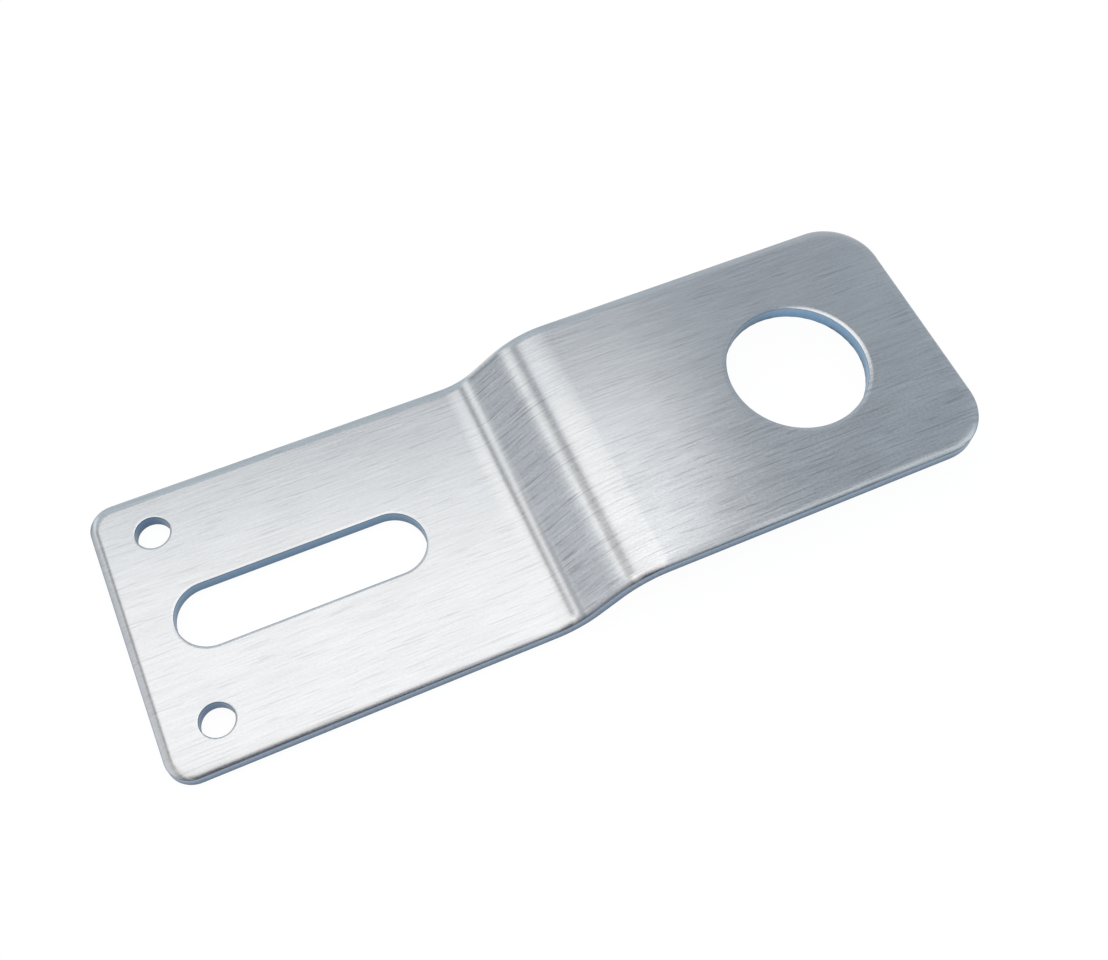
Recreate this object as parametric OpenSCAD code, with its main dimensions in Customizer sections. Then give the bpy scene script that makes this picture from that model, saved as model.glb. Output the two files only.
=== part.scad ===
// Joggled antenna bracket: one strip of steel plate, blanked, pierced and folded into two parallel
// flats joined by a short sloping web. Units are mm. X runs along the strip, from the slotted end
// to the antenna hole end. Y runs across the strip and Z is up. The origin is at the middle of the
// strip's length and width, level with the underside of the lower flat.

/* [Plate] */
// Width of the strip across Y
strip_w = 40; // [37:0.5:60]
// Thickness of the plate
plate_t = 2; // [1.6:0.1:3.2]
// Length of the lower flat, from the slotted end to the first bend
lower_len = 50.4; // [46:0.1:80]
// Length of the upper flat, from the second bend to the antenna hole end
upper_len = 49.4; // [40:0.1:80]
// Corner radius at the slotted end
slot_end_corner_r = 3.5; // [2:0.1:8]
// Corner radius at the antenna hole end
hole_end_corner_r = 7.5; // [3:0.25:14]

/* [Joggle] */
// Slope of the web that joins the two flats, in degrees
web_slope = 40.5; // [20:0.5:60]
// Straight length of the web between the two bends
web_len = 3.9; // [1:0.1:15]
// Inside radius of the lower bend, on the top side
lower_bend_r = 7; // [2:0.25:10]
// Inside radius of the upper bend, on the underside
upper_bend_r = 10; // [3:0.25:20]

/* [Edges] */
// Width of the die roll that blanking leaves along the plate's top edges
edge_roll_w = 1.4; // [0.6:0.1:1.9]
// Radius of that roll's arc, which leaves the top face tangent to it
edge_roll_r = 3; // [2:0.1:6]
// Width of the die roll around the antenna hole
antenna_rim_w = 0.7; // [0.4:0.1:1.4]
// Width of the die roll around the slot
slot_rim_w = 0.4; // [0.2:0.1:1]
// Width of the die roll around each screw hole
screw_rim_w = 0.3; // [0.2:0.1:0.6]
// Radius of a hole's roll, as a multiple of its width
rim_radius_ratio = 4; // [3:0.5:6]

/* [Holes] */
// Diameter of the antenna hole in the upper flat
antenna_hole_d = 19.5; // [12:0.25:24]
// Distance from the antenna hole's centre to the end of the upper flat
antenna_hole_inset = 20; // [14:0.5:28]
// Width of the adjusting slot in the lower flat
slot_w = 9; // [5:0.25:12]
// Overall length of the adjusting slot
slot_len = 33.7; // [15:0.1:38]
// Distance from the slotted end of the plate to the slot
slot_inset = 6.4; // [3:0.1:10]
// Diameter of each small screw hole
screw_hole_d = 4.5; // [3:0.1:6]
// Distance from the slotted end to the screw hole centres
screw_hole_inset = 7.5; // [5:0.1:20]
// Distance from each side of the strip to the screw hole centre beside it
screw_hole_margin = 6.1; // [5.5:0.1:8]

/* [Hidden] */
$fn = 96;
steel = [0.72, 0.73, 0.74];
// How far a cutter runs past the face that it leaves through
past = 1;
// Each bend is turned this many degrees too far, then trimmed where the next run starts
over_turn = 8;
// A hole's roll meets the top face at this small angle
rim_lead = 4;
// The lower bend's outside radius, on the underside
lower_outer_r = lower_bend_r + plate_t;
// Length along X of the whole strip
joggle_len = (lower_outer_r + upper_bend_r) * sin(web_slope) + web_len * cos(web_slope);
total_len = lower_len + joggle_len + upper_len;

// One edge of the plate in section: reach outwards along x, thickness along y, rolled at the top
module edge_section(reach) {
    square([reach - edge_roll_w, plate_t]);
    translate([reach - edge_roll_w, 0])
        intersection() {
            square([edge_roll_w, plate_t + past]);
            translate([0, plate_t - edge_roll_r]) circle(r = edge_roll_r);
        }
}

// The strip in section: width along x, thickness along y, rolled at both top edges
module strip_section() {
    edge_section(strip_w / 2);
    mirror([1, 0]) edge_section(strip_w / 2);
}

// The strip in section, stood up: thickness along x from the underside, width along y
module upright_section() {
    mirror([1, 0]) rotate(90) strip_section();
}

// A straight run of the strip along X
module straight(run) {
    rotate([90, 0, 90]) linear_extrude(height = run) strip_section();
}

// Carries its children round the lower bend, from the lower flat's end to the web's start
module round_lower_bend() {
    translate([lower_len, 0, lower_outer_r])
        rotate([0, -web_slope, 0])
            translate([0, 0, -lower_outer_r]) children();
}

// Carries its children along the web and round the upper bend, to the upper flat's start
module round_upper_bend() {
    translate([web_len, 0, -upper_bend_r])
        rotate([0, web_slope, 0])
            translate([0, 0, upper_bend_r]) children();
}

// What lies beyond the start of a run, taken off the bend before it
module beyond() {
    translate([0, -strip_w, -strip_w / 2]) cube([strip_w, 2 * strip_w, strip_w]);
}

// The lower bend turns about a line above the plate
module lower_bend() {
    difference() {
        translate([lower_len, 0, lower_outer_r])
            rotate([90, 0, 0])
                rotate([0, 0, 270])
                    rotate_extrude(angle = web_slope + over_turn)
                        translate([lower_outer_r, 0]) mirror([1, 0]) upright_section();
        round_lower_bend() beyond();
    }
}

// The upper bend turns about a line below the plate, and starts at the web's end
module upper_bend() {
    difference() {
        translate([web_len, 0, -upper_bend_r])
            rotate([-90, 0, 0])
                rotate([0, 0, 270])
                    rotate_extrude(angle = web_slope + over_turn)
                        translate([upper_bend_r, 0]) upright_section();
        round_upper_bend() beyond();
    }
}

// A rounded end of the strip that points along +X, with its end face at x = 0
module strip_end(corner_r) {
    half_span = strip_w / 2 - corner_r;
    translate([-corner_r, 0, 0])
        rotate([90, 0, 0])
            linear_extrude(height = 2 * half_span, center = true) edge_section(corner_r);
    translate([-corner_r, half_span, 0])
        rotate_extrude(angle = 90) edge_section(corner_r);
    translate([-corner_r, -half_span, 0])
        rotate([0, 0, 270])
            rotate_extrude(angle = 90) edge_section(corner_r);
}

// Half of the space that a pierced hole takes in section: the hole itself and the roll of its rim
module pierced_section(r, rim_w) {
    rim_r = rim_w * rim_radius_ratio;
    crest = r + rim_w + rim_r * sin(rim_lead);
    centre_height = plate_t - rim_r * cos(rim_lead);
    translate([0, -past]) square([r, plate_t + 2 * past]);
    difference() {
        square([crest, plate_t + past]);
        square([crest, centre_height]);
        translate([crest, centre_height]) circle(r = rim_r);
    }
}

// The space that a round hole takes, on the Z axis
module round_hole(d, rim_w) {
    rotate_extrude() pierced_section(d / 2, rim_w);
}

// The space that the slot takes, from x = 0 along X
module long_slot() {
    r = slot_w / 2;
    run = slot_len - slot_w;
    translate([r, 0, 0])
        rotate([0, 0, 90])
            rotate_extrude(angle = 180) pierced_section(r, slot_rim_w);
    translate([r + run, 0, 0])
        rotate([0, 0, 270])
            rotate_extrude(angle = 180) pierced_section(r, slot_rim_w);
    translate([r, 0, 0])
        rotate([90, 0, 90])
            linear_extrude(height = run) {
                pierced_section(r, slot_rim_w);
                mirror([1, 0]) pierced_section(r, slot_rim_w);
            }
}

// The lower flat, with its slot and screw holes
module lower_flat() {
    difference() {
        union() {
            mirror([1, 0, 0]) strip_end(slot_end_corner_r);
            translate([slot_end_corner_r, 0, 0]) straight(lower_len - slot_end_corner_r);
        }
        translate([slot_inset, 0, 0]) long_slot();
        for (side = [-1, 1])
            translate([screw_hole_inset, side * (strip_w / 2 - screw_hole_margin), 0])
                round_hole(screw_hole_d, screw_rim_w);
    }
}

// The upper flat, from x = 0 to its rounded end, with the antenna hole
module upper_flat() {
    difference() {
        union() {
            straight(upper_len - hole_end_corner_r);
            translate([upper_len, 0, 0]) strip_end(hole_end_corner_r);
        }
        translate([upper_len - antenna_hole_inset, 0, 0])
            round_hole(antenna_hole_d, antenna_rim_w);
    }
}

// The whole bracket: the lower flat, the joggle and the upper flat in one folded piece
module bracket() {
    color(steel)
        translate([-total_len / 2, 0, 0]) {
            lower_flat();
            lower_bend();
            round_lower_bend() {
                straight(web_len);
                upper_bend();
                round_upper_bend() upper_flat();
            }
        }
}

bracket();
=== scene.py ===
"""Looks of the antenna bracket: a brushed steel strip with two flats, a joggle and punched holes.

Lengths on the strip are in millimetres and turn into metres as its mesh is written. The studio is in metres.
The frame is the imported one: X runs along the strip, Z is up, and the lower flat lies on z = 0.
A place on the strip is (s, y, n): s is the length along the strip laid flat, from its slotted end,
y is the offset across it, and n is the height above its underside.
"""

import math

import bpy
import numpy as np
from mathutils import Euler, Matrix, Vector, geometry

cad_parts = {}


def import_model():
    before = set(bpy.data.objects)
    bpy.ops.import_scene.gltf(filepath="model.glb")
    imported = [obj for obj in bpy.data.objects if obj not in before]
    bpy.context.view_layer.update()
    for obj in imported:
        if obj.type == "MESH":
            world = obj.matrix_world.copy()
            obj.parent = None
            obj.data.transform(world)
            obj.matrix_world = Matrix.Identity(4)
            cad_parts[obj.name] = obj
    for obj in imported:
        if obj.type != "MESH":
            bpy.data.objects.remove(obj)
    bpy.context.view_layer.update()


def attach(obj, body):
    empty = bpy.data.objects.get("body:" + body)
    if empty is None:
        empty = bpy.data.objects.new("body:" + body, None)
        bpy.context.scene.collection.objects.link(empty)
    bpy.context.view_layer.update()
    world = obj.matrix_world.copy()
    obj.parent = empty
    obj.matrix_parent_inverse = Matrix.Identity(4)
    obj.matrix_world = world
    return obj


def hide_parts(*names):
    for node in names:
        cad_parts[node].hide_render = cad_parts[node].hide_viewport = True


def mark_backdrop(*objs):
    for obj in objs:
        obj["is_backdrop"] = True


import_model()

MM = 0.001

# Strip
STRIP_W = 40.0
PLATE_T = 2.0
HALF_T = PLATE_T / 2
HALF_W = STRIP_W / 2
LOWER_LEN = 50.4
UPPER_LEN = 49.4
SLOT_END_R = 3.5
HOLE_END_R = 7.5

# Joggle: the bends' inside radii, and those of the plate's middle layer
WEB_LEN = 3.9
WEB_SLOPE = math.radians(40.5)
LOWER_BEND_R = 7.0
UPPER_BEND_R = 10.0
LOWER_MID_R = LOWER_BEND_R + HALF_T
UPPER_MID_R = UPPER_BEND_R + HALF_T

# Rolls of the outer edge and of the holes' rims: each ends at the wall in a fine break of the sharp edge
EDGE_W = 1.4
EDGE_R = 3.0
EDGE_BREAK = 0.12
ANTENNA_RIM_W = 0.7
SLOT_RIM_W = 0.4
SCREW_RIM_W = 0.3
RIM_RATIO = 4.0
RIM_LEAD = math.radians(4)
RIM_BREAK = 0.1

# Stations along the strip: the lower bend from A to B, the web to C and the upper bend to D
ST_A = LOWER_LEN
ST_B = ST_A + LOWER_MID_R * WEB_SLOPE
ST_C = ST_B + WEB_LEN
ST_D = ST_C + UPPER_MID_R * WEB_SLOPE
ST_END = ST_D + UPPER_LEN

# The middle layer's place at those stations, with x from the slotted end
X_B = ST_A + LOWER_MID_R * math.sin(WEB_SLOPE)
Z_B = HALF_T + LOWER_MID_R * (1 - math.cos(WEB_SLOPE))
X_C = X_B + WEB_LEN * math.cos(WEB_SLOPE)
Z_C = Z_B + WEB_LEN * math.sin(WEB_SLOPE)
X_D = X_C + UPPER_MID_R * math.sin(WEB_SLOPE)
Z_D = Z_C + UPPER_MID_R * (1 - math.cos(WEB_SLOPE))
X_MID = (X_D + UPPER_LEN) / 2

# Holes
ANTENNA_R = 9.75
ANTENNA_INSET = 20.0
ANTENNA_S = ST_END - ANTENNA_INSET
SLOT_W = 9.0
SLOT_LEN = 33.7
SLOT_INSET = 6.4
SLOT_R = SLOT_W / 2
SLOT_START = SLOT_INSET + SLOT_R
SLOT_STOP = SLOT_INSET + SLOT_LEN - SLOT_R
SCREW_R = 2.25
SCREW_INSET = 7.5
SCREW_MARGIN = 6.1
SCREW_Y = HALF_W - SCREW_MARGIN

# Steps of the mesh, as counts
BEND_STEPS = 40
WEB_STEPS = 6
CORNER_STEPS = 24
ROUND_STEPS = 96
ROLL_STEPS = 12
BREAK_STEPS = 4
WALL_STEPS = 3
ACROSS_STEPS = 24

# Steps of the mesh, as lengths
FLAT_STEP = 1.5
FILL_STEP = 2.5

# Where two lengths count as the same, and how far a triangle's middle may lie inside a hole's edge
TINY = 1e-6
HOLE_SLACK = 0.02
# Length that one unit of the UV map stands for
UV_LEN = 100

# The piece's material slots
STEEL, SHEARED, SLOT_WALL, SCREW_WALL, ANTENNA_WALL = range(5)


def station(s):
    """The middle layer's place at developed length s, and the slope there."""
    if s <= ST_A:
        return s, HALF_T, 0.0
    if s <= ST_B:
        a = (s - ST_A) / LOWER_MID_R
        return ST_A + LOWER_MID_R * math.sin(a), HALF_T + LOWER_MID_R * (1 - math.cos(a)), a
    if s <= ST_C:
        d = s - ST_B
        return X_B + d * math.cos(WEB_SLOPE), Z_B + d * math.sin(WEB_SLOPE), WEB_SLOPE
    if s <= ST_D:
        a = (ST_D - s) / UPPER_MID_R
        return X_D - UPPER_MID_R * math.sin(a), Z_D - UPPER_MID_R * (1 - math.cos(a)), a
    return X_D + s - ST_D, Z_D, 0.0


def place(s, y, n):
    """A place on the strip in the frame's axes, in metres."""
    x, z, a = station(s)
    off = n - HALF_T
    return ((x - off * math.sin(a) - X_MID) * MM, y * MM, (z + off * math.cos(a)) * MM)


def turn(s, v):
    """A direction given along, across and through the strip, in the frame's axes."""
    a = station(s)[2]
    return (v[0] * math.cos(a) - v[2] * math.sin(a), v[1], v[0] * math.sin(a) + v[2] * math.cos(a))


class Skin:
    """Collects shared points and faces with their own normals, UVs and material."""

    def __init__(self):
        self.index = {}
        self.points, self.strip = [], []
        self.faces, self.normals, self.uvs, self.materials = [], [], [], []

    def point(self, s, y, n):
        """The number of the point there, which is new if no face has used it yet."""
        key = (round(s, 4), round(y, 4), round(n, 4))
        if key not in self.index:
            self.index[key] = len(self.points)
            self.points.append(place(s, y, n))
            self.strip.append((s, y, n))
        return self.index[key]

    def face(self, corners, material):
        """Adds a face. Each corner is a place, a normal along, across and through the strip, and a UV."""
        self.faces.append([self.point(*c[0]) for c in corners])
        self.normals.extend(turn(c[0][0], c[1]) for c in corners)
        self.uvs.extend(c[2] for c in corners)
        self.materials.append(material)

    def build(self, name, materials):
        """The whole skin as one object, with each point's place on the strip kept as an attribute."""
        mesh = bpy.data.meshes.new(name)
        mesh.from_pydata(self.points, [], self.faces)
        for m in materials:
            mesh.materials.append(m)
        mesh.polygons.foreach_set("material_index", self.materials)
        mesh.polygons.foreach_set("use_smooth", [True] * len(self.faces))
        uv = mesh.uv_layers.new(name="grain")
        uv.data.foreach_set("uv", np.array(self.uvs, np.float32).ravel())
        strip = mesh.attributes.new("strip", "FLOAT_VECTOR", "POINT")
        strip.data.foreach_set("vector", np.array(self.strip, np.float32).ravel())
        mesh.validate()
        mesh.normals_split_custom_set([Vector(v).normalized() for v in self.normals])
        mesh.update()
        piece = bpy.data.objects.new(name, mesh)
        bpy.context.scene.collection.objects.link(piece)
        return piece


def evenly(a, b, count):
    """Values from a to b in that many steps, without the last one."""
    return [a + (b - a) * i / count for i in range(count)]


def span(a, b, step):
    """Values from a to b, at most step apart, without the last one."""
    return evenly(a, b, max(1, math.ceil(abs(b - a) / step)))


def long_stations():
    """Stations along the strip's straight sides, close together in the bends."""
    stations = span(SLOT_END_R, ST_A, FLAT_STEP)
    stations += evenly(ST_A, ST_B, BEND_STEPS)
    stations += evenly(ST_B, ST_C, WEB_STEPS)
    stations += evenly(ST_C, ST_D, BEND_STEPS)
    stations += span(ST_D, ST_END - HOLE_END_R, FLAT_STEP)
    return stations


def arc(s, y, r, start, turn_by, steps):
    """Points of an arc about (s, y) with their outward directions, without the last one."""
    angles = [start + turn_by * i / steps for i in range(steps)]
    return [(s + r * math.cos(a), y + r * math.sin(a), math.cos(a), math.sin(a)) for a in angles]


def outline():
    """The strip's edge, anticlockwise from above: s, y and the outward direction."""
    along = long_stations()
    quarter = math.pi / 2
    hole_end_s, hole_end_y = ST_END - HOLE_END_R, HALF_W - HOLE_END_R
    slot_end_y = HALF_W - SLOT_END_R
    pts = [(s, -HALF_W, 0.0, -1.0) for s in along]
    pts += arc(hole_end_s, -hole_end_y, HOLE_END_R, -quarter, quarter, CORNER_STEPS)
    pts += [(ST_END, y, 1.0, 0.0) for y in span(-hole_end_y, hole_end_y, FLAT_STEP)]
    pts += arc(hole_end_s, hole_end_y, HOLE_END_R, 0, quarter, CORNER_STEPS)
    pts += [(hole_end_s, HALF_W, 0.0, 1.0)]
    pts += [(s, HALF_W, 0.0, 1.0) for s in reversed(along[1:])]
    pts += arc(SLOT_END_R, slot_end_y, SLOT_END_R, quarter, quarter, CORNER_STEPS)
    pts += [(0.0, y, -1.0, 0.0) for y in span(slot_end_y, -slot_end_y, FLAT_STEP)]
    pts += arc(SLOT_END_R, -slot_end_y, SLOT_END_R, 2 * quarter, quarter, CORNER_STEPS)
    return pts


def long_hole(s0, s1, y, r):
    """A slot from centre s0 to centre s1 (a round hole if they meet), anticlockwise from above."""
    half = ROUND_STEPS // 2
    pts = arc(s1, y, r, -math.pi / 2, math.pi, half)
    if s1 > s0:
        pts += [(s, y + r, 0.0, 1.0) for s in span(s1, s0, FLAT_STEP)]
    pts += arc(s0, y, r, math.pi / 2, math.pi, half)
    if s1 > s0:
        pts += [(s, y - r, 0.0, -1.0) for s in span(s0, s1, FLAT_STEP)]
    return pts


def holes():
    """Every hole's flat, edge, rim width and wall material."""
    out = [("lower", long_hole(SLOT_START, SLOT_STOP, 0.0, SLOT_R), SLOT_RIM_W, SLOT_WALL)]
    for y in (-SCREW_Y, SCREW_Y):
        out.append(("lower", long_hole(SCREW_INSET, SCREW_INSET, y, SCREW_R), SCREW_RIM_W, SCREW_WALL))
    antenna = long_hole(ANTENNA_S, ANTENNA_S, 0.0, ANTENNA_R)
    out.append(("upper", antenna, ANTENNA_RIM_W, ANTENNA_WALL))
    return out


def roll_profile(centre, radius, last, edge_break):
    """A roll from the wall to the flat: offset from the wall, height, outward and upward normal.

    The roll's arc is centred at that offset and ends at slope last, where it meets the flat.
    """
    base = PLATE_T - radius * math.cos(last)
    inner = math.sqrt((radius - edge_break) ** 2 - (centre - edge_break) ** 2)
    first = math.asin((centre - edge_break) / (radius - edge_break))
    out = []
    for a in evenly(math.pi / 2, first, BREAK_STEPS):
        offset = edge_break * (1 - math.sin(a))
        out.append((offset, base + inner + edge_break * math.cos(a), math.sin(a), math.cos(a)))
    for a in evenly(first, last, ROLL_STEPS):
        out.append((centre - radius * math.sin(a), base + radius * math.cos(a), math.sin(a), math.cos(a)))
    out.append((centre - radius * math.sin(last), base + radius * math.cos(last), 0.0, 1.0))
    return out


def rim_profile(width):
    """The roll of a hole's rim, whose radius follows from its width."""
    radius = width * RIM_RATIO
    return roll_profile(width + radius * math.sin(RIM_LEAD), radius, RIM_LEAD, RIM_BREAK)


def shifted(loop, d):
    """The loop's places moved outwards by d."""
    return [(s + a * d, y + b * d) for s, y, a, b in loop]


def grain_uv(s, y):
    """U runs across the grain, which the highlight spreads along."""
    return (y / UV_LEN, s / UV_LEN)


def roll_faces(skin, loop, profile, inward, wall):
    """Sweeps a roll round a loop; inward is -1 for the outer edge and 1 for a hole.

    Its fine break belongs to the wall and takes the wall's dark colour, a painted dark line along the edge.
    """
    count = len(loop)
    for step, (lower, upper) in enumerate(zip(profile[:-1], profile[1:])):
        material = wall if step < BREAK_STEPS else STEEL
        near, far = shifted(loop, inward * lower[0]), shifted(loop, inward * upper[0])
        for i in range(count):
            j = (i + 1) % count

            def corner(ring, k, row):
                s, y = ring[k]
                lean = -inward * row[2]
                return (s, y, row[1]), (loop[k][2] * lean, loop[k][3] * lean, row[3]), grain_uv(s, y)

            quad = [corner(near, i, lower), corner(near, j, lower)]
            quad += [corner(far, j, upper), corner(far, i, upper)]
            skin.face(quad if inward < 0 else quad[::-1], material)


def wall_faces(skin, loop, top, inward, material):
    """The sheared wall below a roll, from the underside up."""
    count = len(loop)
    run = [0.0]
    for i in range(count):
        a, b = loop[i], loop[(i + 1) % count]
        run.append(run[-1] + math.hypot(b[0] - a[0], b[1] - a[1]))
    for k in range(WALL_STEPS):
        n0, n1 = top * k / WALL_STEPS, top * (k + 1) / WALL_STEPS
        for i in range(count):
            j = (i + 1) % count

            def corner(m, n, u):
                s, y, a, b = loop[m]
                return (s, y, n), (-inward * a, -inward * b, 0.0), (u / UV_LEN, n / UV_LEN)

            quad = [corner(i, n0, run[i]), corner(j, n0, run[i + 1])]
            quad += [corner(j, n1, run[i + 1]), corner(i, n1, run[i])]
            skin.face(quad if inward < 0 else quad[::-1], material)


def signed_area(corners):
    """Twice a flat outline's area, negative where it runs clockwise from above."""
    return sum(a[0] * b[1] - b[0] * a[1] for a, b in zip(corners, corners[1:] + corners[:1]))


def flat_faces(skin, edge, openings, height, facing, clear):
    """Fills a flat between its edge and its openings, with a loose grid of points inside.

    clear says whether a place is outside every opening.
    """
    pts, sides = [], []
    for loop in [edge] + openings:
        base = len(pts)
        pts += loop
        sides += [(base + i, base + (i + 1) % len(loop)) for i in range(len(loop))]
    ring = np.array(pts)
    for s in np.arange(ring[:, 0].min() + FILL_STEP, ring[:, 0].max(), FILL_STEP):
        for y in np.arange(ring[:, 1].min() + FILL_STEP, ring[:, 1].max(), FILL_STEP):
            if clear(s, y) and np.hypot(ring[:, 0] - s, ring[:, 1] - y).min() > FILL_STEP / 2:
                pts.append((s, y))
    found = geometry.delaunay_2d_cdt([Vector(p) for p in pts], sides, [], 1, TINY)
    source = [ids[0] for ids in found[3]]
    for triangle in found[2]:
        corners = [pts[source[v]] for v in triangle]
        s, y = (sum(c[k] for c in corners) / 3 for k in (0, 1))
        if not clear(s, y):
            continue
        if signed_area(corners) * facing < 0:
            corners.reverse()
        skin.face([((c[0], c[1], height), (0.0, 0.0, facing), grain_uv(*c)) for c in corners], STEEL)


def bend_faces(skin, half, height, facing):
    """The bends and the web between the flats."""
    along = [s for s in long_stations() if ST_A <= s <= ST_D]
    across = evenly(-half, half, ACROSS_STEPS) + [half]
    for s0, s1 in zip(along[:-1], along[1:]):
        for y0, y1 in zip(across[:-1], across[1:]):
            quad = [(s0, y0), (s1, y0), (s1, y1), (s0, y1)]
            if facing < 0:
                quad.reverse()
            skin.face([((s, y, height), (0.0, 0.0, facing), grain_uv(s, y)) for s, y in quad], STEEL)


def skin_side(skin, edge, rings, height, facing, half, rims):
    """One side of the strip: both flats, with their openings, and the bends between them.

    rims is 1 on the side where the holes have rolled rims, and 0 on the other.
    """

    def clear(s, y):
        slot_s = min(max(s, SLOT_START), SLOT_STOP)
        gaps = [math.hypot(s - slot_s, y) - SLOT_R - rims * SLOT_RIM_W]
        gaps.append(math.hypot(s - ANTENNA_S, y) - ANTENNA_R - rims * ANTENNA_RIM_W)
        gaps.append(math.hypot(s - SCREW_INSET, abs(y) - SCREW_Y) - SCREW_R - rims * SCREW_RIM_W)
        return min(gaps) > -HOLE_SLACK

    # Each flat's edge is closed by a row of points where its bend starts
    across = evenly(-half, half, ACROSS_STEPS)[1:]
    low = [p for p in edge if p[0] <= ST_A + TINY]
    turn_at = next(i for i in range(len(low)) if low[i][1] > 0)
    low = low[:turn_at] + [(ST_A, y) for y in across] + low[turn_at:]
    high = [p for p in edge if p[0] >= ST_D - TINY]
    high += [(ST_D, y) for y in reversed(across)]
    flat_faces(skin, low, [r for where, r in rings if where == "lower"], height, facing, clear)
    flat_faces(skin, high, [r for where, r in rings if where == "upper"], height, facing, clear)
    bend_faces(skin, half, height, facing)


def bracket_skin():
    """The whole bracket's surface: rolled edges, sheared walls, and the strip's two sides."""
    skin = Skin()
    edge = outline()
    roll = roll_profile(EDGE_W, EDGE_R, 0.0, EDGE_BREAK)
    roll_faces(skin, edge, roll, -1, SHEARED)
    wall_faces(skin, edge, roll[0][1], -1, SHEARED)
    top_rings, low_rings = [], []
    for where, loop, width, wall in holes():
        rim = rim_profile(width)
        roll_faces(skin, loop, rim, 1, wall)
        wall_faces(skin, loop, rim[0][1], 1, wall)
        top_rings.append((where, shifted(loop, rim[-1][0])))
        low_rings.append((where, shifted(loop, 0.0)))
    skin_side(skin, shifted(edge, -EDGE_W), top_rings, PLATE_T, 1.0, HALF_W - EDGE_W, 1)
    skin_side(skin, shifted(edge, 0.0), low_rings, 0.0, -1.0, HALF_W, 0)
    return skin


# Materials


class Nodes:
    """Short calls for building a node tree."""

    def __init__(self, owner):
        owner.use_nodes = True
        self.tree = owner.node_tree
        self.tree.nodes.clear()

    def add(self, kind, **values):
        node = self.tree.nodes.new(kind)
        for name, value in values.items():
            setattr(node, name, value)
        return node

    def link(self, a, b):
        self.tree.links.new(a, b)

    def math(self, operation, a, b, clamp=False):
        """Works on two values, each a socket or a number."""
        node = self.add("ShaderNodeMath", operation=operation, use_clamp=clamp)
        for socket, value in zip(node.inputs, (a, b)):
            if isinstance(value, (int, float)):
                socket.default_value = value
            else:
                self.link(value, socket)
        return node.outputs[0]

    def weighted(self, *terms):
        """The sum of values, each times its share."""
        total = 0.0
        for value, share in terms:
            total = self.math("ADD", total, self.math("MULTIPLY", value, share))
        return total

    def ramp(self, value, low, high, out_low=0.0, out_high=1.0, smooth=True):
        """Goes from out_low to out_high as the value goes from low to high, and stays there."""
        node = self.add("ShaderNodeMapRange", interpolation_type="SMOOTHSTEP" if smooth else "LINEAR")
        self.link(value, node.inputs["Value"])
        for name, v in (("From Min", low), ("From Max", high), ("To Min", out_low), ("To Max", out_high)):
            node.inputs[name].default_value = v
        return node.outputs["Result"]

    def bell(self, value, at, half, height):
        """A smooth line of that height, zero from half its width away."""
        rise = self.ramp(value, at - half, at, 0.0, height)
        fall = self.ramp(value, at + half, at)
        return self.math("MULTIPLY", rise, fall)

    def mix(self, factor, a, b):
        """The colour a where the factor is 0 and b where it is 1."""
        node = self.add("ShaderNodeMix", data_type="RGBA")
        sockets = [s for s in node.inputs if s.enabled]
        for socket, value in zip(sockets, (factor, a, b)):
            if isinstance(value, tuple):
                socket.default_value = value
            else:
                self.link(value, socket)
        return next(s for s in node.outputs if s.enabled)

    def noise(self, vector, per_mm, detail, roughness=0.5):
        """Noise that changes that many times per millimetre along each axis."""
        stretch = self.add("ShaderNodeMapping", vector_type="POINT")
        self.link(vector, stretch.inputs["Vector"])
        stretch.inputs["Scale"].default_value = per_mm
        node = self.add("ShaderNodeTexNoise", noise_dimensions="3D")
        self.link(stretch.outputs["Vector"], node.inputs["Vector"])
        node.inputs["Scale"].default_value = 1.0
        node.inputs["Detail"].default_value = detail
        node.inputs["Roughness"].default_value = roughness
        return node.outputs["Fac"]

    def parts(self, vector):
        """A vector's X, Y and Z."""
        node = self.add("ShaderNodeSeparateXYZ")
        self.link(vector, node.inputs[0])
        return node.outputs

    def bump(self, height, strength):
        """The normal of a surface with that relief."""
        node = self.add("ShaderNodeBump")
        node.inputs["Strength"].default_value = strength
        node.inputs["Distance"].default_value = RELIEF
        self.link(height, node.inputs["Height"])
        return node.outputs["Normal"]


def rgb(*c):
    """An opaque colour."""
    return (*c, 1.0)


# Depth of the brushed and torn relief, in metres
RELIEF = 0.00002

# Brushed steel: times per millimetre that each layer changes, along, across and through the strip
FINE_STREAKS = (0.15, 2.7, 1.0)
COARSE_STREAKS = (0.05, 1.1, 1.0)
SHORT_GRAIN = (2.4, 3.4, 1.0)
CLOUDS = (0.11, 0.16, 0.1)
HAIRLINES = (0.17, 3.6, 1.0)
RIDGES = (0.08, 3.0, 1.0)

# Brushed steel: each layer's share of the tone, and the noise at which hairlines start and are full
FINE_SHARE, COARSE_SHARE, GRAIN_SHARE = 0.42, 0.22, 0.36
STREAK_SHARE, CLOUD_SHARE = 0.8, 0.2
HAIR_FROM, HAIR_FULL = 0.42, 0.3
# The middle tone, and the colours at tones 0 and 1
MID_TONE = 0.61
STEEL_DARK, STEEL_LIGHT = rgb(0.41, 0.42, 0.435), rgb(0.725, 0.735, 0.75)

# Brushed steel: the usual range of streaks, the roughness at its two ends, and the relief's strength
STREAK_RANGE = (0.3, 0.7)
STEEL_ROUGHNESS = (0.235, 0.268)
STEEL_BUMP = 0.25
STEEL_ANISOTROPY = 0.4

# The web is strained between these ramps along the strip, from none of it to all of it
STRAIN_START = (ST_B - 1.5, ST_B)
STRAIN_STOP = (ST_C + 3.0, ST_C)
# The streaks' contrast and the hairlines' depth, each as unstrained and as strained
CONTRAST = (1.35, 3.1)
HAIR_DEPTH = (0.27, 0.75)

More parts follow.
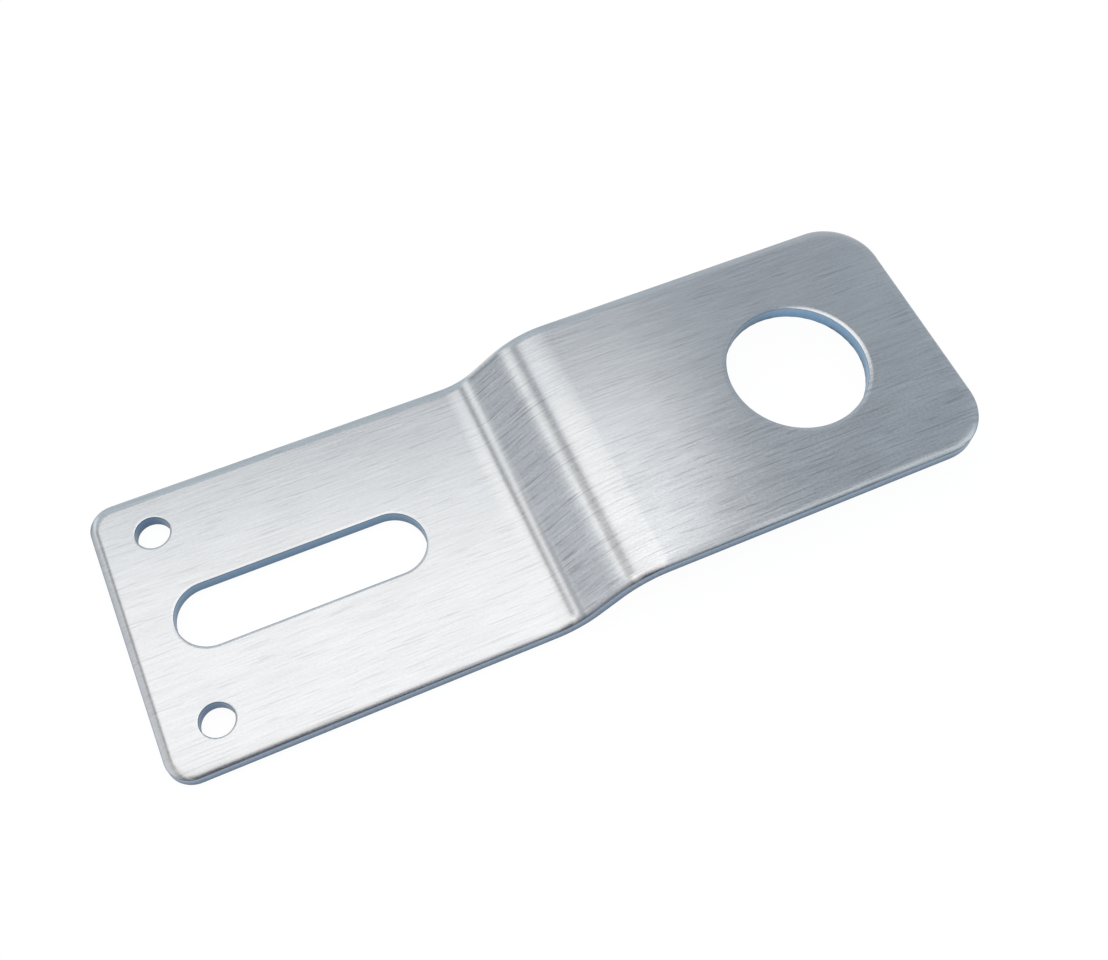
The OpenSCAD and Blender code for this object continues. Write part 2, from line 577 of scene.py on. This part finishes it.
# Both grow over the joggle and stay so on the upper flat, more towards the near side
PATCH_ALONG = (ST_B, ST_D + 4)
PATCH_ACROSS = (8.0, -12.0, 0.2, 1.0)
PATCH_BASE, PATCH_GROWTH = 0.75, 0.8

# Painted dark lines at the bends, in place of their dark reflections: station, half width and depth. They
# fade towards the far side
LOWER_PAINTED_DARK_LINE = (ST_A + 4.4, 0.8, 0.62)
UPPER_PAINTED_DARK_LINE = (ST_C + 2.695, 0.5, 0.3)
PAINTED_LINE_ACROSS = (10.0, -14.0)

# Sheared walls: the heights over which torn metal turns smooth and a painted shade at the bottom fades out,
# and the roughness at those two heights
TORN_AND_SHADE_HEIGHT = (0.1, 1.7)
WALL_ROUGHNESS = (0.45, 0.32)
# Shear lines: changes per millimetre, then the noise's range and what it adds to the tone
SHEAR_LINES = (5.0, 5.0, 0.5)
SHEAR_RANGE = (0.3, 0.7, -0.2, 0.2)
WALL_BUMP = 0.4
# How the antenna hole's wall colour is scaled from where it faces +X to where it faces -X, a painted light
# and shade by the way it faces
FACING_SHADE_RANGE = (0.5, -0.5)
ANTENNA_FACING_SHADE = (0.7, 1.35)


def steel_base(name):
    """A new metal material, its nodes, its shader and the place on the strip."""
    material = bpy.data.materials.new(name)
    n = Nodes(material)
    out = n.add("ShaderNodeOutputMaterial")
    shader = n.add("ShaderNodeBsdfPrincipled")
    shader.inputs["Metallic"].default_value = 1.0
    n.link(shader.outputs["BSDF"], out.inputs["Surface"])
    strip = n.add("ShaderNodeAttribute", attribute_name="strip").outputs["Vector"]
    return material, n, shader, strip


def brushed_tone(n, strip, streak):
    """How light the brushed steel is, from 0 to 1."""
    along, across = n.parts(strip)[:2]
    strained = n.math("MULTIPLY", n.ramp(along, *STRAIN_START), n.ramp(along, *STRAIN_STOP))
    patch = n.math("MULTIPLY", n.ramp(along, *PATCH_ALONG), n.ramp(across, *PATCH_ACROSS))
    patch = n.math("ADD", n.math("MULTIPLY", patch, PATCH_GROWTH), PATCH_BASE)
    contrast = n.math("MULTIPLY", patch, n.ramp(strained, 0.0, 1.0, *CONTRAST, smooth=False))
    depth = n.math("MULTIPLY", patch, n.ramp(strained, 0.0, 1.0, *HAIR_DEPTH, smooth=False))
    cloud = n.noise(strip, CLOUDS, detail=2.0)
    blend = n.weighted((streak, STREAK_SHARE), (cloud, CLOUD_SHARE))
    tone = n.math("MULTIPLY", n.math("SUBTRACT", blend, 0.5), contrast)
    tone = n.math("ADD", tone, MID_TONE)
    hair = n.ramp(n.noise(strip, HAIRLINES, detail=1.0), HAIR_FROM, HAIR_FULL)
    tone = n.math("SUBTRACT", tone, n.math("MULTIPLY", hair, depth))
    # Painted dark lines at the bends, standing in for their dark reflections
    painted_dark_lines = n.math("ADD", n.bell(along, *LOWER_PAINTED_DARK_LINE), n.bell(along, *UPPER_PAINTED_DARK_LINE))
    painted_dark_lines = n.math("MULTIPLY", painted_dark_lines, n.ramp(across, *PAINTED_LINE_ACROSS))
    return n.math("SUBTRACT", tone, painted_dark_lines, clamp=True)


def brushed_steel():
    """The strip's faces: streaks along it, and a highlight that spreads across them."""
    material, n, shader, strip = steel_base("brushed_steel")
    fine = n.noise(strip, FINE_STREAKS, detail=1.0, roughness=0.6)
    coarse = n.noise(strip, COARSE_STREAKS, detail=2.0, roughness=0.6)
    grain = n.noise(strip, SHORT_GRAIN, detail=1.0)
    streak = n.weighted((fine, FINE_SHARE), (coarse, COARSE_SHARE), (grain, GRAIN_SHARE))
    tone = brushed_tone(n, strip, streak)
    n.link(n.mix(tone, STEEL_DARK, STEEL_LIGHT), shader.inputs["Base Color"])
    roughness = n.ramp(streak, *STREAK_RANGE, *STEEL_ROUGHNESS, smooth=False)
    n.link(roughness, shader.inputs["Roughness"])
    n.link(n.bump(n.noise(strip, RIDGES, detail=1.0), STEEL_BUMP), shader.inputs["Normal"])
    tangent = n.add("ShaderNodeTangent", direction_type="UV_MAP", uv_map="grain")
    n.link(tangent.outputs["Tangent"], shader.inputs["Tangent"])
    shader.inputs["Anisotropic"].default_value = STEEL_ANISOTROPY
    return material


def wall_steel(name, bottom, top, turned=None):
    """A wall left by shearing: rough where the metal tore, smoother above, and darker towards the bottom in
    a painted shade.

    turned scales the colour from where the wall faces +X to where it faces -X, a painted light and shade by
    the way the wall faces.
    """
    material, n, shader, strip = steel_base(name)
    lines = n.noise(strip, SHEAR_LINES, detail=2.0, roughness=0.6)
    # Darker towards the bottom in a painted shade, where the floor's shade falls, and rougher there where
    # the metal tore
    torn_and_shade = n.ramp(n.parts(strip)["Z"], *TORN_AND_SHADE_HEIGHT, smooth=False)
    tone = n.math("ADD", torn_and_shade, n.ramp(lines, *SHEAR_RANGE, smooth=False), clamp=True)
    colour = n.mix(tone, bottom, top)
    # Painted light and shade by facing: darker where the wall faces +X, lighter where it faces -X
    if turned:
        facing = n.parts(n.add("ShaderNodeNewGeometry").outputs["Normal"])
        scale = n.add("ShaderNodeVectorMath", operation="SCALE")
        n.link(colour, scale.inputs[0])
        n.link(n.ramp(facing["X"], *FACING_SHADE_RANGE, *turned), scale.inputs["Scale"])
        colour = scale.outputs[0]
    n.link(colour, shader.inputs["Base Color"])
    n.link(n.ramp(torn_and_shade, 0.0, 1.0, *WALL_ROUGHNESS, smooth=False), shader.inputs["Roughness"])
    n.link(n.bump(lines, WALL_BUMP), shader.inputs["Normal"])
    return material


# Wall colours are dark and bluish, a painted reflection of dim bluish surroundings; at the top the holes'
# walls are darker than the outer wall, a painted shade in the holes, most in the screw holes
steels = [
    brushed_steel(),
    wall_steel("sheared_steel", rgb(0.09, 0.14, 0.21), rgb(0.232, 0.312, 0.41)),
    wall_steel("slot_wall_steel", rgb(0.105, 0.19, 0.29), rgb(0.15, 0.24, 0.35)),
    wall_steel("screw_wall_steel", rgb(0.066, 0.128, 0.215), rgb(0.09, 0.16, 0.26)),
    wall_steel("big_wall_steel", rgb(0.105, 0.19, 0.29), rgb(0.165, 0.255, 0.36), ANTENNA_FACING_SHADE),
]
piece = bracket_skin().build("bracket_plate", steels)
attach(piece, "root")
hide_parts("bracket")


# Stage

# Floor: half its width in metres, its colour, the strength of its white and that white's share
FLOOR_HALF = 3.0
FLOOR_COLOUR = rgb(0.93, 0.93, 0.93)
FLOOR_GLOW = 1.045
GLOW_SHARE = 0.9

# The studio's light by direction: each pair is where a region of the unit direction starts and is full
LEFT_X = (-0.47, -0.655)
RIGHT_X = (0.035, 0.575)
FRONT_Y = (-0.05, -0.6)
FAR_FRONT_Y = (-0.5, -0.75)
REAR_Y = (0.35, 0.75)
GROUND_Z = (0.15, 0.0)
SCREEN_Z = (0.72, 0.42)
HIGH_LEFT_Z = (0.42, 0.54)
HIGH_REAR_Z = (0.5, 0.7)

# The studio's colours: the front is unlit above its screen
UNLIT = rgb(0.01, 0.01, 0.04)
UNLIT_RIGHT = rgb(0.03, 0.12, 0.2)
SCREEN = rgb(0.64, 0.68, 0.72)
LEFT_LOW, LEFT_HIGH = rgb(0.785, 0.815, 0.85), rgb(0.98, 1.0, 1.03)
LEFT_REAR = rgb(0.2, 0.25, 0.305)
REAR_LOW, REAR_HIGH = rgb(0.61, 0.7, 0.76), rgb(0.71, 0.79, 0.845)
RIGHT_WALL = rgb(0.465, 0.525, 0.58)
RIGHT_REAR = rgb(0.595, 0.635, 0.685)
GROUND = rgb(0.88, 0.89, 0.9)

# Camera: the photo's width and focal length in pixels, and the sensor's width in millimetres
PHOTO_W = 1108
FOCAL_PX = 1341.1576
SENSOR_W = 36.0
# The nearest distance that the camera sees, in metres
CLIP_START = 0.01
# The eye in millimetres, with x from the slotted end, and its turns about X, Y and Z in degrees
EYE = (17.5484, -77.8629, 160.0761)
EYE_TURNS = (29.1949, -2.01264, -24.31891)

# Above this, a lamp's direction counts as upright
UPRIGHT = 0.9


def floor_material():
    """White for the camera and in reflections, and a pale floor that keeps a little shadow."""
    material = bpy.data.materials.new("floor_white")
    n = Nodes(material)
    out = n.add("ShaderNodeOutputMaterial")
    diffuse = n.add("ShaderNodeBsdfDiffuse")
    diffuse.inputs["Color"].default_value = FLOOR_COLOUR
    glow = n.add("ShaderNodeEmission")
    glow.inputs["Strength"].default_value = FLOOR_GLOW
    path = n.add("ShaderNodeLightPath")
    seen = n.math("ADD", path.outputs["Is Camera Ray"], path.outputs["Is Glossy Ray"], clamp=True)
    seen = n.math("ADD", seen, path.outputs["Is Transmission Ray"], clamp=True)
    mixer = n.add("ShaderNodeMixShader")
    n.link(n.math("MULTIPLY", seen, GLOW_SHARE), mixer.inputs[0])
    n.link(diffuse.outputs[0], mixer.inputs[1])
    n.link(glow.outputs[0], mixer.inputs[2])
    n.link(mixer.outputs[0], out.inputs["Surface"])
    return material


def floor():
    """A plain pale floor under the bracket."""
    half = FLOOR_HALF
    corners = [(-half, -half, 0), (half, -half, 0), (half, half, 0), (-half, half, 0)]
    mesh = bpy.data.meshes.new("floor")
    mesh.from_pydata(corners, [], [(0, 1, 2, 3)])
    mesh.materials.append(floor_material())
    obj = bpy.data.objects.new("floor", mesh)
    bpy.context.scene.collection.objects.link(obj)
    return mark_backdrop(obj)


def panel(name, at, facing, spin, size, radiance):
    """A soft panel in metres; its first side lies level, turned by spin about the way it faces.

    The energy is such that the light's colour is the panel's radiance.
    """
    light = bpy.data.lights.new(name, "AREA")
    light.shape = "RECTANGLE"
    light.size, light.size_y = size
    light.energy = math.pi * size[0] * size[1]
    light.color = radiance
    obj = bpy.data.objects.new(name, light)
    away = -Vector(facing).normalized()
    level = Vector((1, 0, 0)) if abs(away.z) > UPRIGHT else Vector((0, 0, 1)).cross(away)
    level = (level - away * level.dot(away)).normalized()
    turned = Matrix((level, away.cross(level), away)).transposed() @ Matrix.Rotation(spin, 3, "Z")
    obj.matrix_world = Matrix.Translation(at) @ turned.to_4x4()
    obj.visible_camera = False
    bpy.context.scene.collection.objects.link(obj)


def studio_colour(n, x, y, z):
    """The studio seen in each direction: dark in front above a screen, paler walls and ground."""
    front, rear, screen = n.ramp(y, *FRONT_Y), n.ramp(y, *REAR_Y), n.ramp(z, *SCREEN_Z)
    dark = n.mix(screen, UNLIT, SCREEN)
    dark_left = n.mix(n.ramp(y, *FAR_FRONT_Y), UNLIT, dark)
    dark_right = n.mix(screen, UNLIT_RIGHT, SCREEN)
    left_wall = n.mix(n.ramp(z, *HIGH_LEFT_Z), LEFT_LOW, LEFT_HIGH)
    rear_wall = n.mix(n.ramp(z, *HIGH_REAR_Z), REAR_LOW, REAR_HIGH)
    left = n.mix(rear, n.mix(front, left_wall, dark_left), LEFT_REAR)
    middle = n.mix(rear, dark, rear_wall)
    right = n.mix(rear, n.mix(front, RIGHT_WALL, dark_right), RIGHT_REAR)
    walls = n.mix(n.ramp(x, *RIGHT_X), n.mix(n.ramp(x, *LEFT_X), middle, left), right)
    return n.mix(n.ramp(z, *GROUND_Z), walls, GROUND)


def world():
    """The studio's light from all round."""
    sky = bpy.data.worlds.new("studio")
    bpy.context.scene.world = sky
    n = Nodes(sky)
    out = n.add("ShaderNodeOutputWorld")
    back = n.add("ShaderNodeBackground")
    direction = n.add("ShaderNodeTexCoord").outputs["Generated"]
    n.link(studio_colour(n, *n.parts(direction)), back.inputs["Color"])
    n.link(back.outputs[0], out.inputs["Surface"])


def camera():
    """The photo's viewing angle."""
    data = bpy.data.cameras.new("camera")
    data.sensor_fit = "HORIZONTAL"
    data.sensor_width = SENSOR_W
    data.lens = FOCAL_PX * SENSOR_W / PHOTO_W
    data.clip_start = CLIP_START
    obj = bpy.data.objects.new("camera", data)
    eye = Vector((EYE[0] - X_MID, EYE[1], EYE[2])) * MM
    turned = Euler([math.radians(a) for a in EYE_TURNS]).to_matrix()
    obj.matrix_world = Matrix.Translation(eye) @ turned.to_4x4()
    bpy.context.scene.collection.objects.link(obj)
    bpy.context.scene.camera = obj


floor()
world()
panel(
    "overhead",
    at=(-0.0343, 0.0435, 0.33),
    facing=(0.0, 0.0, -1.0),
    spin=math.radians(-11),
    size=(0.305, 0.336),
    radiance=(1.48, 1.456, 1.4),
)
panel(
    "front_right",
    at=(0.323, -0.1055, 0.33),
    facing=(0.0, 0.0, -1.0),
    spin=0.0,
    size=(0.577, 0.124),
    radiance=(0.665, 0.659, 0.625),
)
panel(
    "left_strip",
    at=(-0.247, 0.066, 0.349),
    facing=(1.0, 0.0, 0.0),
    spin=math.radians(22.4),
    size=(0.856, 0.1506),
    radiance=(0.68, 0.654, 0.593),
)
camera()
bpy.context.scene.view_settings.view_transform = "Standard"
